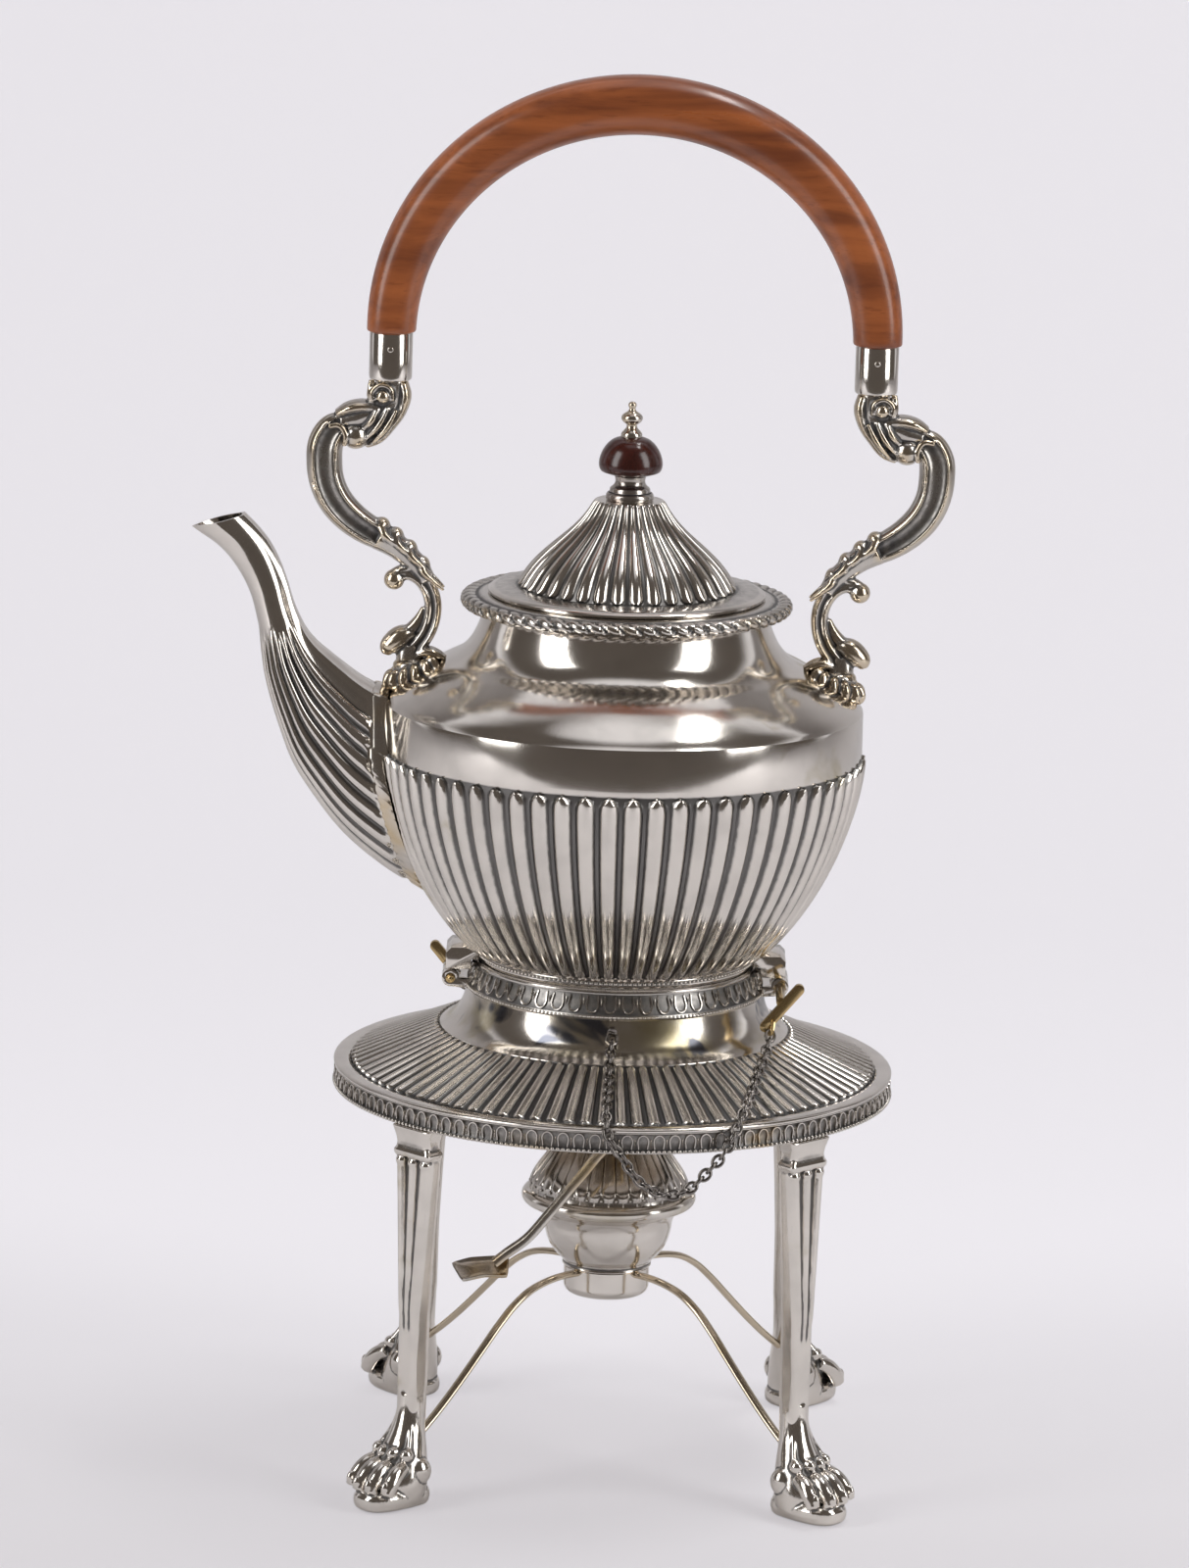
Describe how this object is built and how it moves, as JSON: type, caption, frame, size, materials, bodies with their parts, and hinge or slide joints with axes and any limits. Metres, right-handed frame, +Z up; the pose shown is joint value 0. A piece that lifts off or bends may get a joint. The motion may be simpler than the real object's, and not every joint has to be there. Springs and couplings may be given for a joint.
{
  "type": "spirit_kettle_on_stand",
  "caption": "Silver-plated tilting spirit kettle with fluted body, wooden arch grip and swan-neck spout, hinged by chained pins to a four-legged paw-foot stand with a spirit burner",
  "frame": {"origin": "on the floor below the centre of the part's bounding box; the kettle and stand share an upright axis 15.7 mm to +X of it", "axes": "+Z up, the spout points to -X, the side shown in the picture faces -Y"},
  "size_m": [0.2108, 0.1651, 0.392],
  "materials": {
    "silver_plate": "polished",
    "worn_brass": "worn",
    "grip_wood": "gloss",
    "knob_wood": "gloss",
    "chain_steel": "worn",
    "wick_cotton": "matte"
  },
  "bodies": {
    "stand": {"stand_top": "silver_plate", "disc_border": "silver_plate", "collar_border": "silver_plate", "hinge_bracket_left": "silver_plate", "hinge_bracket_right": "silver_plate", "chain_eye_front": "silver_plate", "chain_eye_rear": "silver_plate", "chain_front": "chain_steel", "chain_rear": "chain_steel", "burner_ring": "silver_plate", "leg_front_right": "silver_plate", "stretcher_front_right": "worn_brass", "leg_rear_right": "silver_plate", "stretcher_rear_right": "worn_brass", "leg_rear_left": "silver_plate", "stretcher_rear_left": "worn_brass", "leg_front_left": "silver_plate", "stretcher_front_left": "worn_brass"},
    "kettle": {"kettle_body": "silver_plate", "kettle_foot": "silver_plate", "kettle_rim": "silver_plate", "spout": "silver_plate", "handle_shell_left": "silver_plate", "handle_shell_right": "silver_plate", "handle_arm_left": "silver_plate", "handle_arm_right": "silver_plate", "ferrule_left": "silver_plate", "ferrule_right": "silver_plate", "ferrule_pin_left": "silver_plate", "ferrule_pin_right": "silver_plate", "handle_grip": "grip_wood", "hinge_leaf_left": "silver_plate", "hinge_leaf_right": "silver_plate"},
    "lid": {"lid": "silver_plate", "lid_bezel": "silver_plate", "knob_spool": "silver_plate", "knob": "knob_wood", "finial": "silver_plate", "knob_nut": "worn_brass"},
    "left_pin": {"hinge_pin_left": "worn_brass"},
    "right_pin": {"hinge_pin_right": "worn_brass"},
    "burner": {"burner_bowl": "silver_plate", "burner_band": "silver_plate", "burner_dome": "silver_plate", "snuffer_bracket": "silver_plate", "wick_tube": "worn_brass", "wick": "wick_cotton"},
    "snuffer": {"snuffer_cap": "silver_plate", "snuffer_shaft": "worn_brass", "snuffer_lever": "worn_brass"}
  },
  "joints": [
    {"name": "kettle_tilt", "type": "hinge", "parent": "stand", "child": "kettle", "pos_m": [-0.0303, 0, 0.1383], "axis": [0, -1, 0], "range_deg": [0, 50]},
    {"name": "lid_lift", "type": "slide", "parent": "kettle", "child": "lid", "axis": [0, 0, 1], "range_m": [0, 0.03]},
    {"name": "left_pin_draw", "type": "slide", "parent": "stand", "child": "left_pin", "axis": [0, 1, 0], "range_m": [0, 0.012], "deforming": ["chain_rear"]},
    {"name": "right_pin_push", "type": "slide", "parent": "stand", "child": "right_pin", "axis": [0, 1, 0], "range_m": [-0.004, 0.012], "deforming": ["chain_front"]},
    {"name": "burner_lift", "type": "slide", "parent": "stand", "child": "burner", "axis": [0, 0, 1], "range_m": [0, 0.012]},
    {"name": "snuffer_swing", "type": "hinge", "parent": "burner", "child": "snuffer", "pos_m": [0.0241, 0, 0.0995], "axis": [0, 1, 0], "range_deg": [0, 32]}
  ]
}
